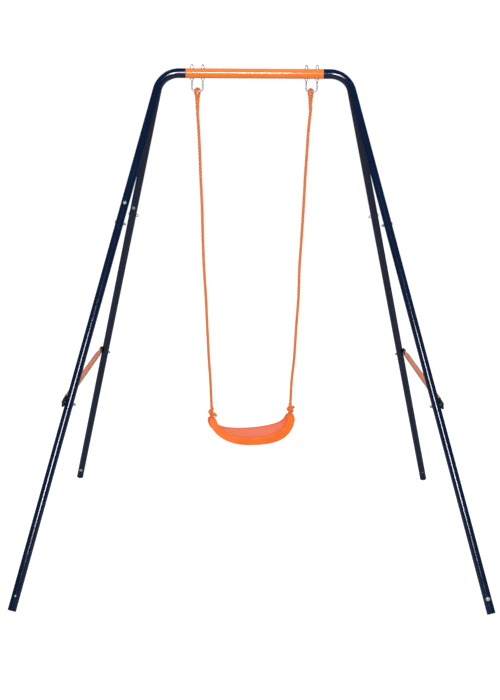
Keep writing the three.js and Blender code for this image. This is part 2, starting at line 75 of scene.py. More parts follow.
SWAGE = 140 * MM  # reduced top of an upper leg
LOWER_SWAGE = 70 * MM  # reduced top of a lower leg
PLUG_RADIUS = 16 * MM
PLUG_FLANGE = 3 * MM
BRACE_RADIUS = 11.5 * MM  # round tube, flattened where it is bolted on
FLAT_THICKNESS = 4 * MM
FLAT_HEIGHT = 34 * MM
FLAT_BEHIND = 40 * MM  # flat part, from the bolt towards the middle
FLAT_BLEND = 55 * MM
CAP_LENGTH = 46 * MM  # black caps on the flat ends
CAP_HEIGHT = 37 * MM
CAP_THICKNESS = 11 * MM
CAP_OVERHANG = 13 * MM
HANGER_X = 228 * MM
HANGER_SPACING = 43 * MM
HANGER_ROD = 3 * MM
HANGER_DROP = 69 * MM
HANGER_BEND = 11 * MM
HANGER_TOP = 29 * MM  # rod's ends above the crossbar axis
ROPE_CROWN = 6.4 * MM  # over the proud strands
ROPE_LAY = 38 * MM
EYE_TURN = radians(40)
EYE_STRAND = 6.3 * MM
EYE_SLIDE = {"left": 0, "right": -3.5 * MM}
SPLICE_END = 79 * MM
SPLICE_CROWN = 8.2 * MM
SEAT_YAW = radians(12)
SEAT_X = -4.4 * MM
SEAT_TOP_Z = 529.7 * MM
SEAT_HALF_WIDTH = 153 * MM
SEAT_DROP = 75.5 * MM
SEAT_FULLNESS = 2.38  # 2 is an ellipse, more is squarer
SEAT_RIM = 30.5 * MM
SEAT_WALL = 3 * MM
SEAT_HALF_DEPTH = 104 * MM
SEAT_NARROWING = 3.26
SEAT_TIP_HALF_DEPTH = 30 * MM
SEAT_FRONT_RISE = 3.4 * MM
SEAT_FLANGE = 5 * MM
RIB_DEPTH = 6 * MM  # below the pan
RIB_HALF_THICKNESS = 1.1 * MM
ROPE_HOLE = 8.4 * MM
ROPE_AT_SEAT = 168 * MM
KNOT_RISE = 21 * MM
KNOT_STRAND = 7.7 * MM
TAIL_STRAND = 6.8 * MM
STOPPER_DROP = 14.5 * MM
STOPPER_STRAND = 5.4 * MM  # before it is scaled down
STOPPER_SCALE = 0.72
STOPPER_CROWN = 3.9 * MM
HANGER_Z = BAR_Z - HANGER_DROP
PIVOT_Z = SEAT_TOP_Z - SEAT_FLANGE / 2
TUBE_SIDES = 56
SQUARE = ((-1, -1), (1, -1), (1, 1), (-1, 1))


# ---- camera, lights and stage
def linked(name, data):
    """A new object in the scene."""
    thing = bpy.data.objects.new(name, data)
    scene.collection.objects.link(thing)
    return thing


def add_camera():
    data = bpy.data.cameras.new("camera")
    data.sensor_width = 36
    data.lens = 57.85
    camera = linked("camera", data)
    yaw = Matrix.Rotation(0.0005, 4, "Z")
    pitch = Matrix.Rotation(pi / 2 - 0.1860, 4, "X")
    roll = Matrix.Rotation(0.0061, 4, "Z")
    camera.matrix_world = Matrix.Translation((-0.0093, -4.6073, 1.6755)) @ yaw @ pitch @ roll
    scene.camera = camera


def add_softbox(name, place, target, size, radiance, mirrored):
    """A rectangle of light; one that isn't mirrored leaves no streak in the paint."""
    data = bpy.data.lights.new(name, "AREA")
    data.shape = "RECTANGLE"
    data.size, data.size_y = size
    data.energy = radiance * pi * size[0] * size[1]
    light = linked(name, data)
    light.location = place
    aim = Vector(target) - Vector(place)
    light.rotation_euler = aim.to_track_quat("-Z", "Y").to_euler()
    light.visible_camera = False
    light.visible_glossy = mirrored


def add_lights():
    add_softbox("key_high", (-0.15, -4.7, 3.0), (-0.15, 0, 1.4), (0.9, 1.6), 24, True)
    add_softbox("key_low", (0.15, -4.7, 2.3), (0.15, 0, 1.2), (0.28, 1.1), 20, True)
    add_softbox("top", (0, 0.2, 4.6), (0, 0, 0.6), (2.6, 2.6), 2.5, False)
    add_softbox("back", (0.6, 4.8, 2.9), (0, 0, 1.1), (1.4, 1.8), 6, False)
    for name, sign in SIDES.items():
        add_softbox(name, (sign * 4.6, 0.3, 2.2), (0, 0, 1.1), (1.2, 1.8), 5, False)


def fill(tree, node, inputs):
    """Gives a node's inputs their values, or links them to the outputs of other nodes."""
    for key, value in inputs.items():
        if isinstance(value, bpy.types.NodeSocket):
            tree.links.new(value, node.inputs[key])
        else:
            node.inputs[key].default_value = value


def add_node(tree, kind, inputs, **settings):
    """Adds a shader node and returns its outputs."""
    node = tree.nodes.new("ShaderNode" + kind)
    for key, value in settings.items():
        setattr(node, key, value)
    fill(tree, node, inputs)
    return node.outputs


def add_world():
    """White behind the object; a dimmer room for its lighting and its reflections."""
    world = bpy.data.worlds.new("studio")
    scene.world = world
    world.use_nodes = True
    tree = world.node_tree
    tree.nodes.clear()
    rays = add_node(tree, "LightPath", {})

    def background(colour, strength):
        return add_node(tree, "Background", {"Color": (*colour, 1), "Strength": strength})[0]

    lit = background((0.95, 0.97, 1), 0.46)
    mirrored = background((0.9, 0.95, 1), 0.03)
    white = background((1, 1, 1), 1)
    room = add_node(tree, "MixShader", {0: rays["Is Glossy Ray"], 1: lit, 2: mirrored})[0]
    seen = add_node(tree, "MixShader", {0: rays["Is Camera Ray"], 1: room, 2: white})[0]
    add_node(tree, "OutputWorld", {0: seen})


def add_floor():
    """A pale floor: pure white to the camera, dimmer as a source of light."""
    mesh = bpy.data.meshes.new("floor")
    reach = 14
    corners = [(x * reach, y * reach, 0) for x, y in SQUARE]
    mesh.from_pydata(corners, [], [(0, 1, 2, 3)])
    floor = linked("floor", mesh)
    floor.location.z = -0.5 * MM
    look = Surface("studio_floor")
    rays = look.add("LightPath", {})
    glow = look.add("Math", {0: rays["Is Diffuse Ray"], 1: 0.60, 2: rays["Is Camera Ray"]},
                    operation="MULTIPLY_ADD")
    look.set({"Base Color": (0.2, 0.2, 0.2, 1), "Roughness": 0.9, "Specular IOR Level": 0.1,
              "Emission Color": (1, 1, 1, 1), "Emission Strength": glow[0]})
    mesh.materials.append(look.material)


# ---- materials
class Surface:
    """A node material with one Principled shader, and short ways to give it detail."""

    def __init__(self, name):
        self.material = bpy.data.materials.new(name)
        self.material.use_nodes = True
        self.tree = self.material.node_tree
        self.tree.nodes.clear()
        self.shader = self.tree.nodes.new("ShaderNodeBsdfPrincipled")
        self.add("OutputMaterial", {0: self.shader.outputs[0]})

    def add(self, kind, inputs, **settings):
        return add_node(self.tree, kind, inputs, **settings)

    def set(self, inputs):
        fill(self.tree, self.shader, inputs)

    def noise(self, scale, detail, stretch=(1, 1, 1)):
        """A noise texture in the piece's own metres."""
        place = self.add("TexCoord", {})["Object"]
        place = self.add("Mapping", {"Vector": place, "Scale": stretch})[0]
        return self.add("TexNoise", {"Vector": place, "Scale": scale, "Detail": detail})["Fac"]

    def ramp(self, source, low, high, colours):
        """Colours spread over source values from low to high."""
        output = self.add("ValToRGB", {0: source})[0]
        elements = output.node.color_ramp.elements
        elements[0].position = low
        elements[0].color = (*colours[0], 1)
        elements[1].position = high
        elements[1].color = (*colours[-1], 1)
        for i, colour in enumerate(colours[1:-1], start=1):
            share = i / (len(colours) - 1)
            elements.new(low + (high - low) * share).color = (*colour, 1)
        return output

    def roughness(self, source, low, high):
        """Stretches a noise value to a range of roughness."""
        limits = {0: source, "From Min": 0.3, "From Max": 0.7, "To Min": low, "To Max": high}
        self.set({"Roughness": self.add("MapRange", limits)[0]})

    def bump(self, source, depth, strength, under=None):
        """A layer of bump, for the shader or for the layer over it."""
        inputs = {"Height": source, "Distance": depth, "Strength": strength}
        if under:
            inputs["Normal"] = under
        return self.add("Bump", inputs)[0]

    def stored(self, name):
        """A value stored on each point of the mesh."""
        return self.add("Attribute", {}, attribute_name=name)["Fac"]

    def mix(self, factor, first, second, kind="MIX"):
        inputs = {"Factor": factor, "A": first, "B": second}
        return self.add("Mix", inputs, data_type="RGBA", blend_type=kind)["Result"]


def gloss_paint(name, dark, light, coat):
    """Stoved paint on tube: faint mottle, orange peel and fine handling marks in the gloss."""
    look = Surface(name)
    look.roughness(look.noise(60, 6, (1, 1, 0.15)), 0.12, 0.2)
    look.set({"Base Color": look.ramp(look.noise(9, 4), 0.3, 0.7, [dark, light]),
              "Coat Weight": coat, "Coat Roughness": 0.1,
              "Normal": look.bump(look.noise(420, 2), 0.015 * MM, 0.15)})
    return look.material


def seat_plastic():
    """Moulded polyethylene: deeper orange round the rim; the grained pan is a paler salmon, partly its
    grain and partly painted light on its upward face.
    """
    look = Surface("seat_plastic")
    rim = look.ramp(look.noise(22, 4), 0.3, 0.7, [(0.92, 0.155, 0.010), (0.97, 0.185, 0.018)])
    grain = look.noise(330, 5)
    # Painted light: the pan's paler salmon stands partly for light falling on its upward face and
    # partly for its real grain.
    grained_pan_and_painted_light = look.ramp(grain, 0.36, 0.66, [(0.94, 0.185, 0.090), (1.0, 0.255, 0.150)])
    waves = look.bump(look.noise(30, 2), 0.3 * MM, 0.2)
    look.roughness(look.noise(90, 5), 0.46, 0.6)
    look.set({"Base Color": look.mix(look.stored("pan"), rim, grained_pan_and_painted_light), "Specular IOR Level": 0.35,
              "Subsurface Weight": 0.08, "Subsurface Radius": (0.008, 0.003, 0.001),
              "Normal": look.bump(grain, 0.10 * MM, 0.4, waves)})
    return look.material


def black_plastic():
    look = Surface("black_plastic")
    tones = [(0.010, 0.010, 0.011), (0.020, 0.020, 0.021)]
    look.roughness(look.noise(150, 4), 0.42, 0.58)
    look.set({"Base Color": look.ramp(look.noise(40, 4), 0.3, 0.7, tones),
              "Normal": look.bump(look.noise(900, 2), 0.05 * MM, 0.5)})
    return look.material


def zinc_steel():
    """Bright zinc plate: faint crystals in tone and a slightly uneven polish."""
    look = Surface("zinc_steel")
    place = look.add("TexCoord", {})["Object"]
    crystals = look.add("TexVoronoi", {"Vector": place, "Scale": 420})["Color"]
    shade = look.add("SeparateColor", {0: crystals})[0]
    look.roughness(look.noise(260, 4), 0.26, 0.42)
    tones = [(0.42, 0.46, 0.51), (0.60, 0.63, 0.67)]
    look.set({"Base Color": look.ramp(shade, 0.0, 1.0, tones), "Metallic": 0.6,
              "Normal": look.bump(look.noise(700, 3), 0.02 * MM, 0.5)})
    return look.material


def rope_fibre():
    """Split-film polypropylene: fine fibres, painted shade down between the yarns, and a dry sheen."""
    look = Surface("rope_fibre")
    fibres = look.noise(850, 5, (1, 1, 0.35))
    tones = [(0.62, 0.105, 0.014), (0.93, 0.225, 0.040), (1.0, 0.42, 0.13)]
    # Painted shade: the base colour is darkened between the yarns, where the strands stand least
    # proud.
    groove_painted_shade = look.ramp(look.stored("crown"), 0.0, 1.0, [(0.58, 0.44, 0.38), (1, 1, 1)])
    look.roughness(fibres, 0.48, 0.72)
    look.set({"Base Color": look.mix(1.0, look.ramp(fibres, 0.34, 0.68, tones), groove_painted_shade, "MULTIPLY"),
              "Sheen Weight": 0.1, "Sheen Roughness": 0.4, "Sheen Tint": (1.0, 0.62, 0.35, 1),
              "Normal": look.bump(fibres, 0.25 * MM, 0.7)})
    return look.material


# ---- shapes: (points, faces) pairs
def skin(rings, loop=False):
    """Faces between successive rings of points; loop joins the last ring to the first."""
    size = len(rings[0])
    points = [point for ring in rings for point in ring]
    faces = []
    for i in range(len(rings) if loop else len(rings) - 1):
        a = i * size
        b = (i + 1) % len(rings) * size
        for k in range(size):
            n = (k + 1) % size
            faces.append((a + k, a + n, b + n, b + k))
    if not loop:
        faces.append(tuple(range(size)))
        faces.append(tuple(range(len(points) - size, len(points))))
    return points, faces


def joined(*shapes):
    points = []
    faces = []
    for shape_points, shape_faces in shapes:
        start = len(points)
        points.extend(shape_points)
        faces.extend(tuple(start + i for i in face) for face in shape_faces)
    return points, faces


def moved(shape, matrix):
    return [matrix @ Vector(point) for point in shape[0]], shape[1]


def shifted(shape, x=0.0, y=0.0, z=0.0):
    return moved(shape, Matrix.Translation((x, y, z)))


def aimed(shape, direction, place=(0, 0, 0)):
    """Turns a shape's +Z to a direction and moves it."""
    turn = Vector(direction).to_track_quat("Z", "Y").to_matrix().to_4x4()
    return moved(shape, Matrix.Translation(place) @ turn)


def turns(count):
    """Even angles round a circle."""
    return [tau * k / count for k in range(count)]


def circle(radius, z, sides):
    return [Vector((radius * cos(turn), radius * sin(turn), z)) for turn in turns(sides)]


def lathe(profile, sides=32, loop=False):
    """A solid of revolution about Z from (radius, z) pairs; loop makes a ring or a sleeve."""
    return skin([circle(radius, z, sides) for radius, z in profile], loop)


def drill(radius, low, high, sides=24):
    """A plain rod along Z, to cut a hole with."""
    return lathe([(radius, low), (radius, high)], sides)


def eased(share):
    """A share held between 0 and 1, with a soft start and end."""
    share = max(0.0, min(1.0, share))
    return share * share * (3 - 2 * share)


def frames_along(points):
    """Two square directions at each point of a route, carried along it without twisting."""
    last = len(points) - 1
    side = (points[1] - points[0]).normalized().orthogonal().normalized()
    result = []
    for i in range(last + 1):
        tangent = (points[min(i + 1, last)] - points[max(i - 1, 0)]).normalized()
        side = (side - tangent * side.dot(tangent)).normalized()
        result.append((side, tangent.cross(side)))
    return result


def around(frame_at_point, angle):
    """The direction at an angle in a route's square frame."""
    u, v = frame_at_point
    return u * cos(angle) + v * sin(angle)


def sweep(points, radius_at, sides):
    """A rod along a route; radius_at(i, angle) is its radius at point i."""
    rings = []
    for i, (point, square) in enumerate(zip(points, frames_along(points))):
        rings.append([point + around(square, turn) * radius_at(i, turn) for turn in turns(sides)])
    return skin(rings)


def box_shape(x, y, z):
    return skin([[Vector((i * x / 2, j * y / 2, k * z / 2)) for i, j in SQUARE] for k in (-1, 1)])


def lengths_along(points):
    travel = [0.0]
    for a, b in zip(points, points[1:]):
        travel.append(travel[-1] + (b - a).length)
    return travel


def even_steps(points, step):
    """The same route as points an even step apart."""
    travel = lengths_along(points)
    count = max(3, round(travel[-1] / step) + 1)
    result = []
    i = 0
    for k in range(count):
        wanted = travel[-1] * k / (count - 1)
        while i < len(points) - 2 and travel[i + 1] < wanted:
            i += 1
        share = (wanted - travel[i]) / max(travel[i + 1] - travel[i], 1e-12)
        result.append(points[i].lerp(points[i + 1], min(share, 1.0)))
    return result


def smooth_route(points, step):
    """A Catmull-Rom curve through the points, at even steps."""
    padded = [points[0] * 2 - points[1], *points, points[-1] * 2 - points[-2]]
    fine = []
    for a, b, c, d in zip(padded, padded[1:], padded[2:], padded[3:]):
        for k in range(24):
            t = k / 24
            fine.append(((b * 2) + (c - a) * t + (a * 2 - b * 5 + c * 4 - d) * t * t
                         + (b * 3 - a - c * 3 + d) * t ** 3) / 2)
    fine.append(points[-1])
    return even_steps(fine, step)


def to_mesh(name, shape):
    mesh = bpy.data.meshes.new(name)
    mesh.from_pydata([tuple(point) for point in shape[0]], [], shape[1])
    bm = bmesh.new()
    bm.from_mesh(mesh)
    bmesh.ops.recalc_face_normals(bm, faces=bm.faces)
    bm.to_mesh(mesh)
    bm.free()
    return mesh


def modified(shape, *settings):
    """The shape after a list of (modifier kind, {setting: value}) is applied to it."""
    worker = linked("worker", to_mesh("worker", shape))
    for kind, values in settings:
        modifier = worker.modifiers.new(kind, kind)
        for key, value in values.items():
            setattr(modifier, key, value)
    graph = bpy.context.evaluated_depsgraph_get()
    mesh = bpy.data.meshes.new_from_object(worker.evaluated_get(graph))
    points = [vertex.co.copy() for vertex in mesh.vertices]
    faces = [tuple(face.vertices) for face in mesh.polygons]
    bpy.data.objects.remove(worker)
    bpy.data.meshes.remove(mesh)
    return points, faces


def cut(shape, tool, operation="DIFFERENCE"):
    cutter = linked("cutter", to_mesh("cutter", tool))
    settings = {"object": cutter, "operation": operation, "solver": "EXACT"}
    result = modified(shape, ("BOOLEAN", settings))
    bpy.data.objects.remove(cutter)
    return result


def add_piece(name, shape, slot, replaced=None, body="frame", angle=35, look=None):
    """Adds a finished piece; it shows the material of its slot unless another look is given."""
    mesh = to_mesh(name, shape)
    mesh.shade_smooth()
    mesh.set_sharp_from_angle(angle=radians(angle))
    mesh.materials.append(look or LOOKS[slot])
    piece = linked(name, mesh)
    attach(piece, body)
    if replaced:
        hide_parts(replaced)
    return piece


def store(piece, name, values):
    """Keeps a value on each point of a piece, for its material."""
    attribute = piece.data.attributes.new(name, "FLOAT", "POINT")
    attribute.data.foreach_set("value", values)


# ---- leg frames
def foot_centre(side, end):
    return Vector((SIDES[side] * FOOT_X, ENDS[end] * FOOT_Y, FOOT_Z))


def apex(side):
    return Vector((SIDES[side] * APEX_X, 0, BAR_Z))


def down_leg(side, end):
    return (foot_centre(side, end) - apex(side)).normalized()


def outward(side):
    return Vector((SIDES[side] * (BAR_Z - FOOT_Z), 0, FOOT_X - APEX_X)).normalized()


def axes(x, z, origin):
    """The matrix of a frame with these X and Z axes."""
    return Matrix.Translation(origin) @ Matrix((x, z.cross(x), z)).transposed().to_4x4()


def leg_frame(side, end):
    """Origin at the apex, +Z up the leg, +X outwards, square to the side of the swing."""
    return axes(outward(side), -down_leg(side, end), apex(side))


LEG_LENGTH = (apex("right") - foot_centre("right", "front")).length


# ---- fasteners
def thread(radius, low, high):
    """A threaded rod along Z."""
    pitch = 1 * MM
    steps = max(2, round((high - low) / pitch * 5))
    points = [Vector((0, 0, low + (high - low) * i / steps)) for i in range(steps + 1)]

    def radius_at(i, angle):
        phase = tau * points[i].z / pitch - angle
        return radius - 0.35 * MM * (0.5 + 0.5 * cos(phase))

    return sweep(points, radius_at, 20)


def domed_head(radius, height):
    """A low domed head, its seat at z = 0, with a driver's cross cut into it."""
    outline = [(0.94, 0), (1, 0.10), (1, 0.24), (0.94, 0.46), (0.82, 0.67), (0.62, 0.84),
               (0.38, 0.95), (0.14, 1)]
    head = lathe([(across * radius, up * height) for across, up in outline])
    long = 0.95 * radius
    short = 0.28 * long
    for x, y in ((long, short), (short, long)):
        head = cut(head, shifted(box_shape(x, y, 0.9 * height), z=height))
    return head


def bolt(head_radius, head_height, shank, threaded):
    """A domed bolt along Z: the head above z = 0, the shank below, its end threaded."""
    low = threaded - shank
    plain = lathe([(2.9 * MM, low), (3 * MM, low + 0.6 * MM), (3 * MM, 0.2 * MM)], 24)
    end = thread(3 * MM, -shank, low + 0.1 * MM)
    return joined(domed_head(head_radius, head_height), plain, end)


def washer(inner, outer, thickness):
    edge = 0.25 * thickness
    under = [(inner, edge), (inner + edge, 0), (outer - edge, 0), (outer, edge)]
    over = [(radius, thickness - z) for radius, z in under[::-1]]
    return lathe(under + over, loop=True)


def hex_nut(flats, height):
    """A hexagonal nut with turned corners and a plain bore."""
    corner = flats / sqrt(3)
    lead = 0.5 * (corner - flats / 2)
    past = corner + 0.1 * MM
    turned = lathe([(flats / 2, -0.01 * MM), (past, lead), (past, height - lead),
                    (flats / 2, height + 0.01 * MM)], 48)
    body = cut(lathe([(corner, 0), (corner, height)], 6), turned, "INTERSECT")
    return cut(body, drill(3.05 * MM, -1 * MM, height + 1 * MM, 20))


def add_leg_fasteners(side, end, matrix):
    """Each with the way it faces in the leg's frame and its distances out and down the leg."""
    surface = LEG_RADIUS + GAP
    near_end = "front" if side == "left" else "back"
    screw_down = NEAR_SCREW if end == near_end else FAR_SCREW
    nut = joined(washer(3.3 * MM, 6.2 * MM, 1 * MM), shifted(HEX_NUT, z=1 * MM))
    fasteners = {
        "joint_bolt": (JOINT_BOLT, (1, 0, 0), surface, UPPER_BOLT),
        "joint_nut": (nut, (-1, 0, 0), surface, UPPER_BOLT),
        "corner_screw": (CORNER_SCREW, (0, 1, 0), surface, screw_down),
        "foot_bolt": (FOOT_SCREW, (0, ENDS[end], 0), surface, FOOT_BOLT),
        "brace_bolt": (BRACE_SCREW, (1, 0, 0), surface + CAP_THICKNESS + GAP, BRACE_BOLT),
        "brace_nut": (nut, (-1, 0, 0), surface, BRACE_BOLT),
    }
    for kind, (shape, facing, out, down) in fasteners.items():
        place = Vector(facing) * out - Vector((0, 0, down))
        named = f"{end}_{side}_{kind}"
        add_piece(f"{named}_fine", moved(aimed(shape, facing, place), matrix), "zinc_steel", named)


# ---- tubes
def hanger_places():
    """Where the hangers' legs pass through the crossbar."""
    return [side * HANGER_X + leg * HANGER_SPACING / 2 for side in (-1, 1) for leg in (-1, 1)]


def crossbar_shape():
    chamfer = 0.5 * MM
    round_holes = sorted(x + reach for x in hanger_places() for reach in (-5 * MM, 5 * MM))
    stations = [-BAR_HALF + chamfer, *round_holes, BAR_HALF - chamfer]
    profile = [(BAR_RADIUS - chamfer, -BAR_HALF)]
    profile += [(BAR_RADIUS, x) for x in stations]
    profile += [(BAR_RADIUS - chamfer, BAR_HALF), (BAR_RADIUS - WALL, BAR_HALF),
                (BAR_RADIUS - WALL, -BAR_HALF)]
    tube = aimed(lathe(profile, TUBE_SIDES, loop=True), (1, 0, 0))
    tube = shifted(tube, z=BAR_Z)
    for x in hanger_places():
        tube = cut(tube, shifted(drill(3.4 * MM, BAR_Z - 30 * MM, BAR_Z + 30 * MM), x=x))
    return tube


def corner_route(side):
    """The axis of the front half of a corner tube, from its spigot to its lower end."""
    sign = SIDES[side]
    top = apex(side)
    down = down_leg(side, "front")
    along = Vector((sign, 0, 0))
    half = (-along).angle(down) / 2
    middle = (down - along).normalized()
    centre = top + middle * (BEND_RADIUS / sin(half))
    start = top - along * (BEND_RADIUS / tan(half))
    normal = (-along).cross(down).normalized()
    sweep_angle = pi - 2 * half
    bend_steps = 28
    bend = []
    for k in range(bend_steps + 1):
        turn = Matrix.Rotation(-sweep_angle * k / bend_steps, 3, normal)
        bend.append(centre + turn @ (start - centre))
    seam = BAR_HALF + GAP
    reaches = (BAR_HALF - SPIGOT_LENGTH, seam - 0.02 * MM, seam, seam + 0.6 * MM)
    lead = [Vector((sign * reach, 0, BAR_Z)) for reach in reaches]
    end = top + down * (UPPER_JOINT - GAP)
    tail = [end - down * 0.6 * MM, end]
    return lead, bend, tail


def corner_radii(bend_count):
    """Outer radius at each point of the route: spigot, full tube, taper round the bend, leg."""
    radii = [BAR_RADIUS - WALL - GAP] * 2
    radii += [BAR_RADIUS - 0.6 * MM, BAR_RADIUS]
    shares = [k / (bend_count - 1) for k in range(bend_count)]
    radii += [BAR_RADIUS + (LEG_RADIUS - BAR_RADIUS) * eased(share) for share in shares]
    return radii + [LEG_RADIUS, LEG_RADIUS - 0.6 * MM]


def front_half(shape):
    """The part of a shape in front of the middle plane."""
    mesh = to_mesh("half", shape)
    bm = bmesh.new()
    bm.from_mesh(mesh)
    bpy.data.meshes.remove(mesh)
    geometry = bm.verts[:] + bm.edges[:] + bm.faces[:]
    bmesh.ops.bisect_plane(bm, geom=geometry, dist=1e-7, plane_co=(0, 0, 0), plane_no=(0, 1, 0),
                           clear_outer=True)
    points = [vertex.co.copy() for vertex in bm.verts]
    bm.verts.index_update()
    faces = [tuple(vertex.index for vertex in face.verts) for face in bm.faces]
    bm.free()
    return points, faces


def corner_shape(side):
    """The front tube is cut along the middle plane and mirrored, which welds the two into a Y."""
    lead, bend, tail = corner_route(side)
    route = lead + bend + tail
    radii = corner_radii(len(bend))
    frames = frames_along(route)

    def ring(i, reach):
        return [route[i] + around(frames[i], turn) * reach for turn in turns(TUBE_SIDES)]

    taper_starts = 7
    outer = [ring(i, radius) for i, radius in enumerate(radii)]
    widest = [BAR_RADIUS if i < taper_starts else LEG_RADIUS for i in range(len(route))]
    inner = [ring(i, min(radius, widest[i]) - WALL) for i, radius in enumerate(radii)]
    inner[2] = ring(2, radii[1] - WALL)
    inner[-1] = ring(len(route) - 1, LEG_RADIUS - WALL)
    points, faces = front_half(skin(outer + inner[::-1], loop=True))
    mirrored = [Vector((point.x, -point.y, point.z)) for point in points]
    both = joined((points, faces), (mirrored, [face[::-1] for face in faces]))
    return modified(both, ("WELD", {"merge_threshold": 0.004 * MM}))


def weld_bead(side):
    """The bead that closes the crotch of the Y, over the top of the bend and under it."""
    lead, bend, tail = corner_route(side)
    straight = even_steps([bend[-1], tail[0]], 4 * MM)[1:30]
    route = bend + straight
    radii = corner_radii(len(bend))[len(lead):-len(tail)] + [LEG_RADIUS] * len(straight)
    above = []
    below = []
    for point, radius, square in zip(route, radii, frames_along(route)):
        u, v = square
        reach = radius * hypot(u.y, v.y)
        if abs(point.y) < 1.5 * MM or abs(point.y) > reach:
            continue
        middle = atan2(v.y, u.y)
        swing = acos(-point.y / reach)
        pair = [point + around(square, angle) * radius for angle in (middle + swing, middle - swing)]
        pair.sort(key=lambda place: place.z + abs(place.x))
        below.append(pair[0])
        above.append(pair[1])
    path = even_steps(above + below[::-1], 1 * MM)

    def radius_at(i, angle):
        ends = min(1.0, (min(i, len(path) - 1 - i) + 1) / 25)
        return 1.7 * MM * ends * (1 + 0.16 * cos(tau * i / 3))

    return sweep(path, radius_at, 10)


def leg_shape(top, bottom, swage):
    """A tube with a reduced top that slides into the tube above it."""
    neck = LEG_RADIUS - WALL - GAP
    edge = 0.6 * MM
    profile = [(LEG_RADIUS - edge, -bottom), (LEG_RADIUS, -bottom + edge),
               (LEG_RADIUS, -top - 3 * MM), (LEG_RADIUS - 0.15 * MM, -top - 1.2 * MM),
               (LEG_RADIUS - 0.7 * MM, -top - 0.3 * MM), (neck, -top),
               (neck, -top + swage - edge), (neck - edge, -top + swage),
               (neck - WALL, -top + swage), (neck - WALL, -top - 4 * MM),
               (LEG_RADIUS - WALL, -top - 8 * MM), (LEG_RADIUS - WALL, -bottom)]
    return lathe(profile, TUBE_SIDES, loop=True)


def foot_plug_shape(side, end):
    """A ribbed plug with a rounded flange, worn flat where it meets the ground."""
    sleeve = LEG_RADIUS - WALL - GAP
    root = sleeve - 0.5 * MM
    profile = [(2 * MM, 0), (PLUG_RADIUS - 1.4 * MM, 0), (PLUG_RADIUS - 0.4 * MM, 0.4 * MM),
               (PLUG_RADIUS, 1.3 * MM), (PLUG_RADIUS, PLUG_FLANGE - 0.5 * MM),
               (PLUG_RADIUS - 0.5 * MM, PLUG_FLANGE), (root, PLUG_FLANGE)]
    for z in (8, 13, 18):
        profile += [(root, (z - 1) * MM), (sleeve, z * MM), (root, (z + 1) * MM)]
    profile += [(root, 23 * MM), (sleeve - 1.5 * MM, 24 * MM), (sleeve - 3 * MM, 24 * MM),
                (sleeve - 3 * MM, 5 * MM), (2 * MM, 5 * MM)]
    plug = moved(shifted(lathe(profile, 48), z=-LEG_LENGTH), leg_frame(side, end))
    centre = foot_centre(side, end)
    ground = shifted(box_shape(80 * MM, 80 * MM, 40 * MM), centre.x, centre.y, -20 * MM)
    return cut(plug, ground)


# ---- side braces
def brace_frame(side):
    """Origin midway between the two brace bolts: +X out of the side, +Y along the brace."""
    x = outward(side)
    middle = apex(side) + down_leg(side, "front") * BRACE_BOLT
    middle.y = 0
    z = x.cross(Vector((0, SIDES[side], 0)))
    return axes(x, z, middle + x * (LEG_RADIUS + GAP + CAP_THICKNESS / 2))


BRACE_REACH = BRACE_BOLT * FOOT_Y / LEG_LENGTH  # from the middle to a brace bolt


def brace_ring(y, thinner):
    """A section of the brace: round in the middle, two flats with round edges at the bolt."""
    inward = BRACE_REACH - FLAT_BEHIND - abs(y)
    share = eased(inward / FLAT_BLEND)
    thick = FLAT_THICKNESS / 2 + (BRACE_RADIUS - FLAT_THICKNESS / 2) * share - thinner
    high = FLAT_HEIGHT / 2 + (BRACE_RADIUS - FLAT_HEIGHT / 2) * share - thinner
    power = 0.45 + 0.55 * share
    ring = []
    for angle in turns(48):
        across = copysign(abs(cos(angle)) ** power, cos(angle))
        ring.append(Vector((thick * across, y, high * sin(angle))))
    return ring


def brace_shape():
    half = BRACE_REACH + CAP_OVERHANG - 5 * MM
    flat_from = BRACE_REACH - FLAT_BEHIND
    ends = [half, half - 0.8 * MM, flat_from + 1 * MM]
    ends += [flat_from - FLAT_BLEND * k / 10 for k in range(11)]
    ends += [flat_from - FLAT_BLEND - 60 * MM, 0.3 * half]
    stations = [-y for y in ends] + [0.0] + ends[::-1]
    outer = [brace_ring(y, 0.3 * MM if abs(y) == half else 0.0) for y in stations]
    inner = [brace_ring(y, WALL) for y in stations[::-1]]
    tube = skin(outer + inner, loop=True)
    for sign in (-1, 1):
        hole = aimed(drill(3.4 * MM, -8 * MM, 8 * MM), (1, 0, 0))
        tube = cut(tube, shifted(hole, y=sign * BRACE_REACH))
    return tube


def bevelled_box(x, y, z, width, segments):
    return modified(box_shape(x, y, z), ("BEVEL", {"width": width, "segments": segments}))


def cap_shape(sign):
    """A black sleeve over a flat end, with a lip at its mouth and a boss for the bolt."""
    far = BRACE_REACH + CAP_OVERHANG
    long = CAP_LENGTH - 2 * MM
    body = bevelled_box(CAP_THICKNESS - 1 * MM, long, CAP_HEIGHT - 1 * MM, 5 * MM, 6)
    lip = bevelled_box(CAP_THICKNESS, 6 * MM, CAP_HEIGHT, 2.2 * MM, 4)
    cap = cut(shifted(body, y=sign * (far - long / 2)),
              shifted(lip, y=sign * (far - CAP_LENGTH + 3 * MM)), "UNION")
    pocket = box_shape(FLAT_THICKNESS + 2 * GAP, CAP_LENGTH, FLAT_HEIGHT + 2 * GAP)
    cap = cut(cap, shifted(pocket, y=sign * (far - CAP_LENGTH / 2 - 4 * MM)))
    middle = CAP_THICKNESS / 2
    boss = lathe([(9.6 * MM, middle - 1.5 * MM), (9.6 * MM, middle - 0.5 * MM), (9.0 * MM, middle),
                  (7.6 * MM, middle)])
    boss = shifted(aimed(boss, (1, 0, 0)), y=sign * BRACE_REACH)
    return joined(cap, boss)


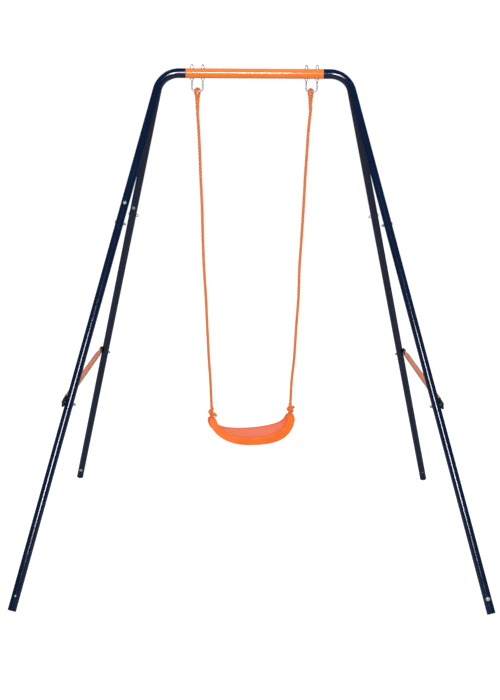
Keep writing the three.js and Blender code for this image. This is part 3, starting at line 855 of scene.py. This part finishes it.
# ---- rope hangers
def hanger_shape():
    """A bent rod, threaded where it passes the crossbar's lower nuts."""
    half = HANGER_SPACING / 2
    thread_top = -17 * MM
    thread_end = -37 * MM
    steps = round((thread_top - thread_end) / (0.2 * MM))
    straight = [HANGER_TOP, HANGER_TOP - 1 * MM]
    straight += [thread_top + (thread_end - thread_top) * k / steps for k in range(steps + 1)]
    leg = [(half, z) for z in straight]
    for k in range(13):
        angle = pi / 2 * k / 12
        leg.append((half - HANGER_BEND + HANGER_BEND * cos(angle),
                    -HANGER_DROP + HANGER_BEND - HANGER_BEND * sin(angle)))
    route = [Vector((-x, 0, z)) for x, z in leg] + [Vector((x, 0, z)) for x, z in leg[::-1]]

    def radius_at(i, angle):
        z = route[i].z
        if z > HANGER_TOP - 0.5 * MM:
            return HANGER_ROD - 0.7 * MM
        if thread_end + 1 * MM < z < thread_top:
            return HANGER_ROD - 0.3 * MM * (0.5 + 0.5 * cos(tau * z / MM - angle))
        return HANGER_ROD

    return sweep(route, radius_at, 20)


def saddle(rise):
    """A washer whose one face follows the crossbar; rise is its thickness at the middle."""
    sides = 36
    inner = 3.3 * MM
    outer = 7.4 * MM

    def on_bar(point):
        return Vector((point.x, point.y, sqrt(BAR_RADIUS ** 2 - point.y ** 2) - BAR_RADIUS))

    curved = [[on_bar(point) for point in circle(radius, 0, sides)] for radius in (inner, outer)]
    flat = [circle(outer, rise - 0.3 * MM, sides), circle(outer - 0.3 * MM, rise, sides),
            circle(inner, rise, sides)]
    return skin(curved + flat, loop=True)


def acorn_nut(height):
    """A domed nut: a chamfered hexagon with a drawn dome on it."""
    base = 4.9 * MM
    foot = 6.2 * MM
    shoulder = 6.9 * MM
    profile = [(base, foot), (base, shoulder)]
    for k in range(1, 10):
        angle = pi / 2 * k / 10
        profile.append((base * cos(angle), shoulder + (height - shoulder) * sin(angle)))
    return joined(hex_nut(10.6 * MM, 6.5 * MM), lathe(profile))


def flange_nut():
    """A hexagonal nut with a round flange, seen under the crossbar."""
    flange = lathe([(3.1 * MM, 0), (7.3 * MM, 0), (7.5 * MM, 0.4 * MM), (7.4 * MM, 0.9 * MM),
                    (5.6 * MM, 2.0 * MM), (3.1 * MM, 2.0 * MM)], 36, loop=True)
    return joined(flange, shifted(hex_nut(10.6 * MM, 5 * MM), z=1.4 * MM))


def add_hangers():
    rise = 1.2 * MM
    clear = BAR_RADIUS + 0.05 * MM
    for side, sign in SIDES.items():
        x = sign * HANGER_X
        add_piece(f"{side}_hanger_fine", shifted(hanger_shape(), x, 0, BAR_Z), "zinc_steel",
                  f"{side}_hanger")
        for leg, away in (("outer", 1), ("inner", -1)):
            named = f"{side}_{leg}"
            axis = Matrix.Translation((x + sign * away * HANGER_SPACING / 2, 0, BAR_Z))
            under = axis @ Matrix.Rotation(pi, 4, "X")
            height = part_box(f"{named}_domed_nut")[1][2] - BAR_Z - clear - rise
            washer_over = shifted(saddle(rise), z=clear)
            add_piece(f"{named}_saddle_top", moved(washer_over, axis), "zinc_steel")
            acorn = shifted(acorn_nut(height), z=clear + rise)
            add_piece(f"{named}_acorn_nut", moved(acorn, axis), "zinc_steel", f"{named}_domed_nut")
            add_piece(f"{named}_saddle_under", moved(washer_over, under), "zinc_steel")
            nut = shifted(flange_nut(), z=clear + rise)
            add_piece(f"{named}_flange_nut", moved(nut, under), "zinc_steel",
                      f"{named}_hanger_nut")


# ---- rope
STRANDS = 3
YARNS = 6


def twisted(points, outer, lay, tip=1.0):
    """Strands of yarns laid round a centreline; outer is the rope's radius, tip its end's share."""
    frames = frames_along(points)
    travel = lengths_along(points)
    tip_from = len(points) - 2
    outers = [outer if i < tip_from else outer * tip for i in range(len(points))]
    thick = [radius / (1 + 2 / sqrt(3)) for radius in outers]

    def radius_at(i, angle):
        lobe = 0.5 + 0.5 * cos(YARNS * angle + tau * travel[i] / (0.7 * lay))
        return thick[i] * (0.91 + 0.09 * lobe)

    shapes = []
    for strand in range(STRANDS):
        centres = []
        for i, point in enumerate(points):
            angle = tau * (travel[i] / lay + strand / STRANDS)
            centres.append(point + around(frames[i], angle) * (outers[i] - thick[i]))
        shapes.append(sweep(centres, radius_at, 18))
    return joined(*shapes)


def mark_crowns_for_painted_shade(piece, path, outer):
    """Stores how proud each point of a rope stands, from 0 in a groove to 1 on a crown, for the
    painted shade in the grooves.
    """
    tree = KDTree(len(path))
    for i, point in enumerate(path):
        tree.insert(point, i)
    tree.balance()
    heights = [tree.find(vertex.co)[2] / outer for vertex in piece.data.vertices]
    store(piece, "crown", [max(0.0, min(1.0, (height - 0.45) / 0.5)) for height in heights])


# How far each rope wanders sideways, in mm, at shares of its length.
WANDER = {
    "left": [(0, 0), (0.06, 1.3), (0.12, 1.5), (0.2, 0.4), (0.3, 0.2), (0.4, -2.5), (0.5, -3.8),
             (0.6, -1.8), (0.7, -2), (0.8, -1.5), (0.88, 0.5), (1, 0)],
    "right": [(0, 0), (0.06, -3), (0.12, -3), (0.2, -3.2), (0.3, -1.9), (0.4, -1.6), (0.5, -1.9),
              (0.6, 2.3), (0.7, 1.2), (0.8, 1.5), (0.88, -2.5), (0.95, -2), (1, 0)],
}


def eye_x(side):
    return SIDES[side] * HANGER_X + EYE_SLIDE[side]


def rope_foot(side):
    reach = SIDES[side] * ROPE_AT_SEAT
    return Vector((SEAT_X + reach * cos(SEAT_YAW), reach * sin(SEAT_YAW), PIVOT_Z))


def rope_route(side):
    """From inside the splice to the stopper knot, with the rope's slight sideways wander."""
    x = eye_x(side)
    top = Vector((x, 0, HANGER_Z - SPLICE_END - GAP))
    foot = rope_foot(side)
    route = [Vector((x, 0, HANGER_Z - 30 * MM)), Vector((x, 0, HANGER_Z - 55 * MM))]
    for share, sideways in WANDER[side]:
        route.append(top.lerp(foot, share) + Vector((sideways * MM, 0, 0)))
    route.append(foot - Vector((0, 0, STOPPER_DROP)))
    return smooth_route(route, 2.4 * MM)


def eye_shape():
    """The loop over the hanger rod, both ends running down into the splice."""
    half = [(2.6, -46), (3.8, -38), (5.0, -28), (7.2, -18), (10.6, -7.5), (10.2, 2.6), (5.9, 7.2)]
    points = [Vector((0, y * MM, z * MM)) for y, z in half]
    points.append(Vector((0, 0, HANGER_ROD + EYE_STRAND)))
    points += [Vector((0, -y * MM, z * MM)) for y, z in half[::-1]]
    route = smooth_route(points, 2.2 * MM)
    return twisted(route, EYE_STRAND, ROPE_LAY), route


def splice_shape():
    """Tucked strands wound back round the rope below the eye, thick at each tuck."""
    low = -SPLICE_END
    high = -30 * MM
    tuck = 15 * MM
    steps = 44

    def radius_at(i, angle):
        share = i / steps
        lobe = 0.5 + 0.5 * cos(5 * angle + 14 * share)
        return 2.9 * MM * (1 - 0.45 * max(0.0, share - 0.8) / 0.2) * (0.9 + 0.1 * lobe)

    shapes = []
    for strand in range(STRANDS):
        centres = []
        for k in range(steps + 1):
            z = high + (low - high) * k / steps
            fade = min(1.0, (z - low) / (9 * MM) + 0.35)
            turn = tau * (strand / STRANDS - (z - high) / (30 * MM))
            swell = cos(tau * (z + 46 * MM) / tuck)
            reach = (4.9 * MM + 1.1 * MM * swell) * fade
            centres.append(Vector((reach * cos(turn), reach * sin(turn), z)))
        shapes.append(sweep(centres, radius_at, 15))
    core = [Vector((0, 0, -z * MM)) for z in range(30, 80, 2)]
    return joined(*shapes), core


# The rope's turns in each knot, in mm about its middle, and its tail's start, way and length.
KNOT_TURNS = {
    "left": [(0, 0, 24), (0, 0, 13), (-5, 4, 9), (-9, 1, 4), (-6, -6, 1), (3, -7, -3), (11, -3, -8),
             (10, 5, -9), (2, 6, -5), (-4, 2, -6), (-2, 0, -13), (0, 0, -22)],
    "right": [(0, 0, 24), (0, 0, 13), (-4, -5, 8), (-9, -2, 2), (-7, 5, -3), (2, 7, -6), (9, 2, -8),
              (6, -6, -5), (-1, -6, 0), (-3, 1, -6), (-1, 0, -13), (0, 0, -22)],
}
TAILS = {
    "left": ((6, -4, -5), (0.82, -0.3, -0.48), 15),
    "right": ((2, -3, 2), (0.8, -0.2, 0.56), 17),
}


def knot_shape(side, radius):
    """The rope's turns in a knot drawn tight, from above it to the hole it sits on."""
    path = smooth_route([Vector(point) * MM for point in KNOT_TURNS[side]], 1.5 * MM)
    return twisted(path, radius, 30 * MM), path


def tail_shape(direction, length, radius):
    """A cut end of rope, its tip fused into a rounded bead."""
    along = Vector(direction).normalized()
    path = [along * (length * k / 12) for k in range(13)]
    bead = lathe([(0.55 * radius, -1.2 * MM), (0.92 * radius, -0.6 * MM), (0.98 * radius, 0.5 * MM),
                  (0.8 * radius, 1.4 * MM), (0.4 * radius, 1.9 * MM)], 20)
    rope = twisted(path, radius, 26 * MM, 0.97)
    return joined(rope, aimed(bead, along, along * length)), path


def add_rope(side):
    def add(name, made, place, outer, replaced=None):
        shape, path = made
        piece = add_piece(name, moved(shape, place), "orange_rope", replaced, f"{side}_rope", 60)
        mark_crowns_for_painted_shade(piece, [place @ point for point in path], outer)
        return piece

    path = rope_route(side)
    rope = add(f"{side}_rope_laid", (twisted(path, ROPE_CROWN, ROPE_LAY), path), Matrix(),
               ROPE_CROWN, f"{side}_rope")
    hang = Matrix.Translation((eye_x(side), 0, HANGER_Z)) @ Matrix.Rotation(-EYE_TURN, 4, "Z")
    eye = add(f"{side}_eye_loop", eye_shape(), hang, EYE_STRAND, f"{side}_rope_eye")
    splice = add(f"{side}_splice", splice_shape(), hang, SPLICE_CROWN)
    foot = rope_foot(side)
    above = Matrix.Translation(foot + Vector((0, 0, KNOT_RISE)))
    knot = add(f"{side}_seat_knot", knot_shape(side, KNOT_STRAND), above, KNOT_STRAND)
    start, way, length = TAILS[side]
    out = above @ Matrix.Translation(Vector(start) * MM)
    tail = add(f"{side}_knot_tail", tail_shape(way, length * MM, TAIL_STRAND), out, TAIL_STRAND)
    turn = Matrix.Rotation(SEAT_YAW + pi / 2, 4, "Z") @ Matrix.Scale(STOPPER_SCALE, 4)
    under = Matrix.Translation(foot - Vector((0, 0, STOPPER_DROP))) @ turn
    stopper = add(f"{side}_stopper_knot", knot_shape(side, STOPPER_STRAND), under, STOPPER_CROWN)


# ---- seat
def fullness(angle):
    total = abs(sin(angle)) ** SEAT_FULLNESS + abs(cos(angle)) ** SEAT_FULLNESS
    return total ** (-1 / SEAT_FULLNESS)


def seat_half_depth(angle):
    narrowing = abs(sin(angle) * fullness(angle)) ** SEAT_NARROWING
    return SEAT_TIP_HALF_DEPTH + (SEAT_HALF_DEPTH - SEAT_TIP_HALF_DEPTH) * (1 - narrowing)


def seat_point(angle, y, half, depth):
    """A point of the seat: angle along the pan, y across it, depth out from its upper face."""
    x = (SEAT_HALF_WIDTH + depth) * sin(angle) * fullness(angle)
    fall = cos(angle) * fullness(angle)
    return Vector((x, y, -(SEAT_DROP + depth + SEAT_FRONT_RISE * y / half) * fall))


def drawn_in(points, angle, share):
    """Draws the last points of a raised end towards its middle, so its top is a dome."""
    middle = seat_point(angle, 0, 1, SEAT_RIM / 2)
    targets = [Vector((middle.x, middle.y, point.z)) for point in points]
    return [point.lerp(target, 0.34 * share) for point, target in zip(points, targets)]


def seat_rows():
    """Rows across a coarse cage of the moulding's outer skin, from one raised end to the other."""
    steps = 28
    tip_from = 1.22
    depths = [SEAT_RIM, 0.55 * SEAT_RIM, 0.0]
    rows = []
    for k in range(steps + 1):
        angle = pi * (k / steps - 0.5)
        half = seat_half_depth(angle)
        tip = max(0.0, (abs(angle) - tip_from) / (pi / 2 - tip_from))
        half *= 1 - 0.30 * tip ** 2
        inner = half - min(8 * MM, 0.4 * half)
        row = [(-half, depth) for depth in depths]
        row += [(-inner, 0.0), (-0.45 * half, 0.0), (0.0, 0.0), (0.45 * half, 0.0), (inner, 0.0)]
        row += [(half, depth) for depth in depths[::-1]]
        points = [seat_point(angle, y, half, depth) for y, depth in row]
        rows.append(drawn_in(points, angle, max(0.0, 1 - 14 * (pi / 2 - abs(angle)))))
    return rows


def seat_skin():
    """The cage, open underneath, with its two raised ends closed by a flat top."""
    rows = seat_rows()
    size = len(rows[0])
    points = [point for row in rows for point in row]
    faces = []
    for i in range(len(rows) - 1):
        for k in range(i * size, (i + 1) * size - 1):
            faces.append((k, k + 1, k + 1 + size, k + size))
    for start in (0, (len(rows) - 1) * size):
        low = start + 2
        high = start + size - 3
        line = list(range(low, high + 1))
        for inset in (1, 0):
            first = start + inset
            last = start + size - 1 - inset
            fresh = [first]
            for k in range(low + 1, high):
                share = (points[k].y - points[low].y) / (points[high].y - points[low].y)
                points.append(points[first].lerp(points[last], share))
                fresh.append(len(points) - 1)
            fresh.append(last)
            for k in range(len(line) - 1):
                faces.append((line[k], line[k + 1], fresh[k + 1], fresh[k]))
            line = fresh
    return points, faces


def seat_shape():
    """The moulding: a rounded skin of even wall, with a hole in each raised end."""
    shell = modified(seat_skin(), ("SUBSURF", {"levels": 3, "render_levels": 3}),
                     ("SOLIDIFY", {"thickness": SEAT_WALL, "offset": -1.0, "use_even_offset": True}))
    for sign in (-1, 1):
        hole = drill(ROPE_HOLE, -18 * MM, 6 * MM, 32)
        shell = cut(shell, shifted(hole, x=sign * ROPE_AT_SEAT))
    return shell


def rib_section(middle, thick):
    """A rib's corners: places across it and depths below the pan."""
    root = SEAT_WALL - 0.4 * MM
    low = SEAT_WALL + RIB_DEPTH
    return [(middle - thick, root), (middle + thick, root), (middle + 0.7 * thick, low),
            (middle - 0.7 * thick, low)]


def rib_shape(y):
    """A rib along the underside of the pan."""
    rings = []
    for k in range(41):
        angle = k / 20 - 1
        half = seat_half_depth(angle)
        section = rib_section(y, RIB_HALF_THICKNESS)
        rings.append([seat_point(angle, place, half, depth) for place, depth in section])
    return skin(rings)


def cross_rib_shape(angle):
    """A rib across the underside of the pan."""
    half = seat_half_depth(angle)
    reach = half - SEAT_WALL + 0.3 * MM
    section = rib_section(angle, RIB_HALF_THICKNESS / SEAT_HALF_WIDTH)
    rings = []
    for k in range(13):
        y = reach * (k / 6 - 1)
        rings.append([seat_point(place, y, half, depth) for place, depth in section])
    return skin(rings)


def grip_dots():
    """Low round studs in staggered rows over the middle of the pan."""
    stud = [(1.7 * MM, -0.5 * MM), (1.7 * MM, 0.25 * MM), (1.25 * MM, 0.6 * MM), (0.5 * MM, 0.75 * MM)]
    shapes = []
    pitch = 8.5 * MM
    for row in range(15):
        y = (row - 7) * pitch * 0.87
        for column in range(-13, 14):
            angle = (column + 0.5 * (row % 2)) * pitch / (0.86 * SEAT_HALF_WIDTH)
            half = seat_half_depth(angle)
            if abs(angle) > 0.80 or abs(y) > half - 24 * MM:
                continue
            place = seat_point(angle, y, half, 0)
            ahead = seat_point(angle + 0.01, y, half, 0) - place
            across = seat_point(angle, y + 1 * MM, half, 0) - place
            normal = ahead.cross(across).normalized()
            shapes.append(aimed(lathe(stud, 10), normal, place))
    return joined(*shapes)


def pan_grain_and_light_share(local):
    """How far a point of the seat is in the grained pan, whose paler colour is partly painted light: 1
    in the middle, 0 at the rim.
    """
    angle = atan2(local.x / SEAT_HALF_WIDTH, -local.z / SEAT_DROP)
    depth = hypot(local.x / SEAT_HALF_WIDTH, local.z / SEAT_DROP) / fullness(angle) - 1
    if depth > 0.035:
        return 0.0
    inward = seat_half_depth(angle) - abs(local.y)
    return eased((inward - 3 * MM) / (50 * MM))


def add_seat():
    place = Matrix.Translation((SEAT_X, 0, SEAT_TOP_Z)) @ Matrix.Rotation(SEAT_YAW, 4, "Z")
    back = place.inverted()

    def add(name, shape, replaced=None, angle=35):
        piece = add_piece(name, moved(shape, place), "orange_plastic", replaced, "seat", angle)
        # Stores where the pan's grain and its painted light go.
        store(piece, "pan", [pan_grain_and_light_share(back @ vertex.co) for vertex in piece.data.vertices])

    add("seat_moulding", seat_shape(), "seat", 40)
    ribs = [rib_shape(y) for y in (-38 * MM, 0, 38 * MM)]
    ribs += [cross_rib_shape(angle) for angle in (-0.9, -0.54, -0.18, 0.18, 0.54, 0.9)]
    add("seat_ribs", joined(*ribs))
    add("seat_grip_studs", grip_dots())
    for side, sign in SIDES.items():
        lip = lathe([(8.2 * MM, -1.5 * MM), (8.2 * MM, 0.2 * MM), (8.9 * MM, 0.5 * MM),
                     (10.0 * MM, 0.1 * MM), (10.4 * MM, -1.5 * MM)], loop=True)
        add(f"seat_{side}_hole_lip", shifted(lip, sign * ROPE_AT_SEAT, 0, -0.8 * MM))


# ---- build
HEX_NUT = hex_nut(10 * MM, 5 * MM)
THROUGH = 2 * (LEG_RADIUS + GAP)  # across a leg tube, with clearance
JOINT_BOLT = bolt(6 * MM, 3 * MM, THROUGH + 10 * MM, 14 * MM)
CORNER_SCREW = bolt(7 * MM, 4 * MM, 8 * MM, 5 * MM)
FOOT_SCREW = bolt(8 * MM, 4 * MM, THROUGH + 3 * MM, 8 * MM)
BRACE_SCREW = bolt(6.5 * MM, 3.5 * MM, THROUGH + CAP_THICKNESS + 9 * MM, 14 * MM)


def add_leg(side, end):
    named = f"{end}_{side}"
    matrix = leg_frame(side, end)
    upper = leg_shape(UPPER_JOINT, LOWER_JOINT - GAP, SWAGE)
    add_piece(f"{named}_upper_tube", moved(upper, matrix), "navy_paint", f"{named}_upper_leg")
    lower = leg_shape(LOWER_JOINT, LEG_LENGTH - PLUG_FLANGE - GAP, LOWER_SWAGE)
    add_piece(f"{named}_lower_tube", moved(lower, matrix), "navy_paint", f"{named}_lower_leg")
    add_piece(f"{named}_foot", foot_plug_shape(side, end), "black_plastic", f"{named}_foot_plug")
    cap = moved(cap_shape(ENDS[end] * SIDES[side]), brace_frame(side))
    add_piece(f"{named}_cap", cap, "black_plastic", f"{named}_brace_cap")
    add_leg_fasteners(side, end, matrix)


scene.view_settings.view_transform = "Standard"
add_camera()
add_world()
add_lights()
add_floor()

# Painted highlight: the braces get a paler, pinker copy of the orange paint, standing in for strong
# light washing over the struts.
BRACE_PAINTED_HIGHLIGHT_LOOK = gloss_paint("brace_paint_painted_highlight", (0.96, 0.335, 0.190), (1.0, 0.385, 0.240), 0.3)
LOOKS = {
    "navy_paint": gloss_paint("navy_paint", (0.0009, 0.0085, 0.0360), (0.0014, 0.0120, 0.0480), 0.8),
    "orange_paint": gloss_paint("orange_paint", (0.88, 0.195, 0.024), (0.94, 0.225, 0.036), 0.2),
    "black_plastic": black_plastic(),
    "zinc_steel": zinc_steel(),
    "orange_rope": rope_fibre(),
    "orange_plastic": seat_plastic(),
}
for side in SIDES:
    add_rope(side)
add_piece("crossbar_tube", crossbar_shape(), "orange_paint", "crossbar")
for side in SIDES:
    add_piece(f"{side}_corner_y", corner_shape(side), "navy_paint", f"{side}_corner_tube")
    add_piece(f"{side}_corner_weld", weld_bead(side), "navy_paint", angle=60)
    add_piece(f"{side}_brace_strut", moved(brace_shape(), brace_frame(side)), "orange_paint",
              f"{side}_brace", look=BRACE_PAINTED_HIGHLIGHT_LOOK)
    for end in ENDS:
        add_leg(side, end)
add_hangers()
add_seat()
